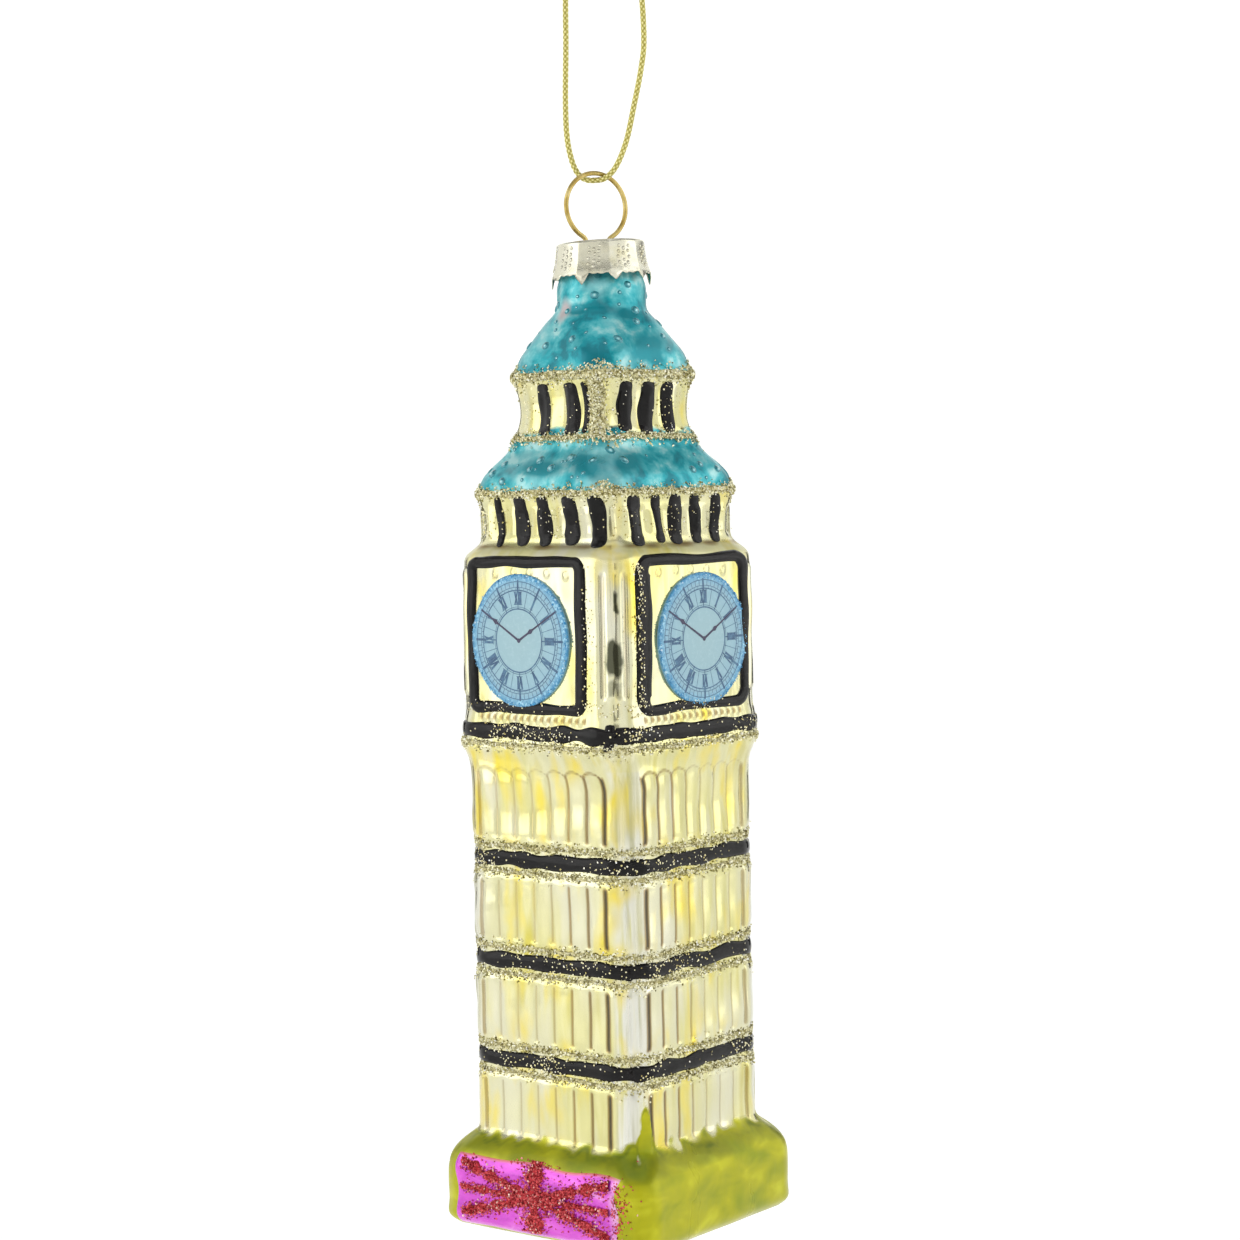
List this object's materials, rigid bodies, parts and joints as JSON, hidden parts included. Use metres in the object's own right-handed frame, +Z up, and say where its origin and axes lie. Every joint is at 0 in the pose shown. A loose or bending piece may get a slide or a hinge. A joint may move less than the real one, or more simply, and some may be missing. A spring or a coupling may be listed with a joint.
{
  "type": "christmas ornament",
  "caption": "Blown-glass clock-tower Christmas ornament with raised clock dials, metal cap, wire ring and a knotted gold hanging cord.",
  "frame": {"origin": "hanging point, inside the top of the cord loop under its knot", "axes": "+Z up along the line that the ornament hangs on; the front face with the flag motif faces -Y; +X is the face on its right"},
  "size_m": [0.0366, 0.0371, 0.2033],
  "materials": {
    "lacquered_glass": "silvered glass with gold, teal and lime lacquer, gloss",
    "black_enamel": "raised black enamel, gloss",
    "gold_glitter": "raised gold glitter in clear lacquer",
    "red_glitter": "raised red glitter in clear lacquer",
    "dial_print": "pale blue printed dial under clear gloss",
    "cap_metal": "pressed champagne metal, satin",
    "hanger_wire": "drawn gold wire, polished",
    "gold_cord": "twisted metallic thread"
  },
  "bodies": {
    "knot": {"cord_knot": "gold_cord"},
    "loop": {"cord_loop": "gold_cord"},
    "hanger": {"wire_hanger": "hanger_wire"},
    "cap": {"metal_cap": "cap_metal"},
    "glass": {"glass_body": "lacquered_glass", "clock_frame_front": "black_enamel", "clock_frame_right": "black_enamel", "clock_frame_back": "black_enamel", "clock_frame_left": "black_enamel", "dial_front": "dial_print", "dial_right": "dial_print", "dial_back": "dial_print", "dial_left": "dial_print", "enamel_band_clock": "black_enamel", "enamel_band_lower": "black_enamel", "enamel_band_middle": "black_enamel", "enamel_band_upper": "black_enamel", "glitter_clock_foot": "gold_glitter", "glitter_lower_foot": "gold_glitter", "glitter_lower_top": "gold_glitter", "glitter_middle_foot": "gold_glitter", "glitter_middle_top": "gold_glitter", "glitter_upper_foot": "gold_glitter", "glitter_upper_top": "gold_glitter", "glitter_eave": "gold_glitter", "glitter_lantern_foot": "gold_glitter", "glitter_lantern_top": "gold_glitter", "flag_glitter": "red_glitter"}
  },
  "joints": [
    {"name": "cord_swivel", "type": "hinge", "parent": "knot", "child": "loop", "pos_m": [0, 0, 0], "axis": [0, 0, 1], "range_deg": [-180, 180]},
    {"name": "ring_swing", "type": "hinge", "parent": "loop", "child": "hanger", "pos_m": [0, 0, -0.04793], "axis": [0.3907, 0.9205, 0], "range_deg": [-75, 75]},
    {"name": "wire_lift", "type": "slide", "parent": "hanger", "child": "cap", "axis": [0, 0, -1], "range_m": [0, 0.003]},
    {"name": "neck_pull", "type": "slide", "parent": "cap", "child": "glass", "axis": [0, 0, -1], "range_m": [0, 0.018]}
  ]
}
